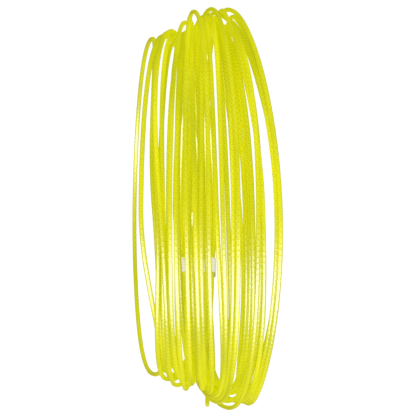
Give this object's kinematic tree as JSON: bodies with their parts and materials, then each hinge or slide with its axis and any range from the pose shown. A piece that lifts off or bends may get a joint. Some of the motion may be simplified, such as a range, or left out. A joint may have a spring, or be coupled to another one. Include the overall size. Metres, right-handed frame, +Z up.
{
  "type": "coil of racket string",
  "caption": "Loose coil of bright yellow rough racket string standing on its rim, with most of its turns gathered by a pale strip near the floor and fanned apart above it.",
  "frame": {"origin": "middle of the underside of the coil's box, on the surface that the coil stands on", "axes": "+X along the coil's axis, from the tightest turns to the widest; -Y towards the strip and the string's outer end; +Z up"},
  "size_m": [0.0444, 0.122, 0.1169],
  "materials": {
    "string": "glossy, rough textured monofilament",
    "strip": "matte"
  },
  "bodies": {
    "root": {"string_turns_1": "string", "string_turns_2": "string", "string_turns_3": "string", "string_turns_4": "string", "string_turns_5": "string", "string_turns_6": "string", "string_turns_7": "string", "string_outer_end": "string", "string_inner_end": "string", "binding_strip": "strip"}
  },
  "joints": []
}
